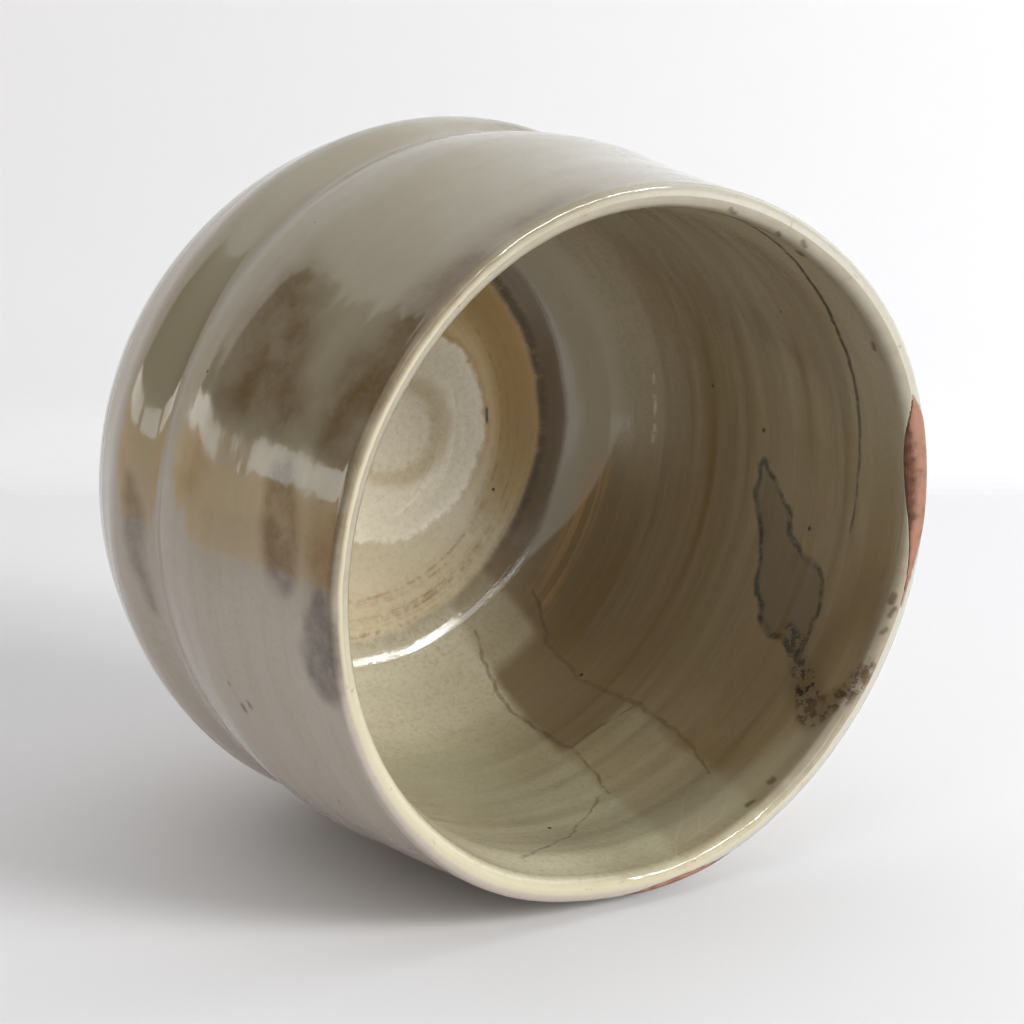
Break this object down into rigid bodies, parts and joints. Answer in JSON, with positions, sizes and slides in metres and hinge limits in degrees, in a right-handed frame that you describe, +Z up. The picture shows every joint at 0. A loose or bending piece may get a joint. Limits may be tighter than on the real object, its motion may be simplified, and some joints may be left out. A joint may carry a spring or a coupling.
{
  "type": "sake cup",
  "caption": "Thrown stoneware sake cup with a turned foot ring, throwing ridges on the belly, glaze coats outside and inside, and lacquer-filled chips on the lip.",
  "frame": {"origin": "centre of the foot ring's underside, on the surface the cup stands on", "axes": "+Z up along the turning axis towards the mouth; +Y towards the short repair on the lip; -X towards the long repair on the lip"},
  "size_m": [0.0674, 0.0674, 0.0579],
  "materials": {
    "fired_clay": "bare fired stoneware, matt and slightly gritty",
    "outside_glaze": "glossy grey-olive feldspar glaze with brown stains",
    "inside_glaze": "glossy olive-brown glaze with throwing lines, crackle and tide-line stains",
    "lacquer": "satin red-brown lacquer"
  },
  "bodies": {
    "root": {"clay_body": "fired_clay", "outer_glaze": "outside_glaze", "inner_glaze": "inside_glaze", "long_lip_fill": "lacquer", "short_lip_fill": "lacquer"}
  },
  "joints": []
}
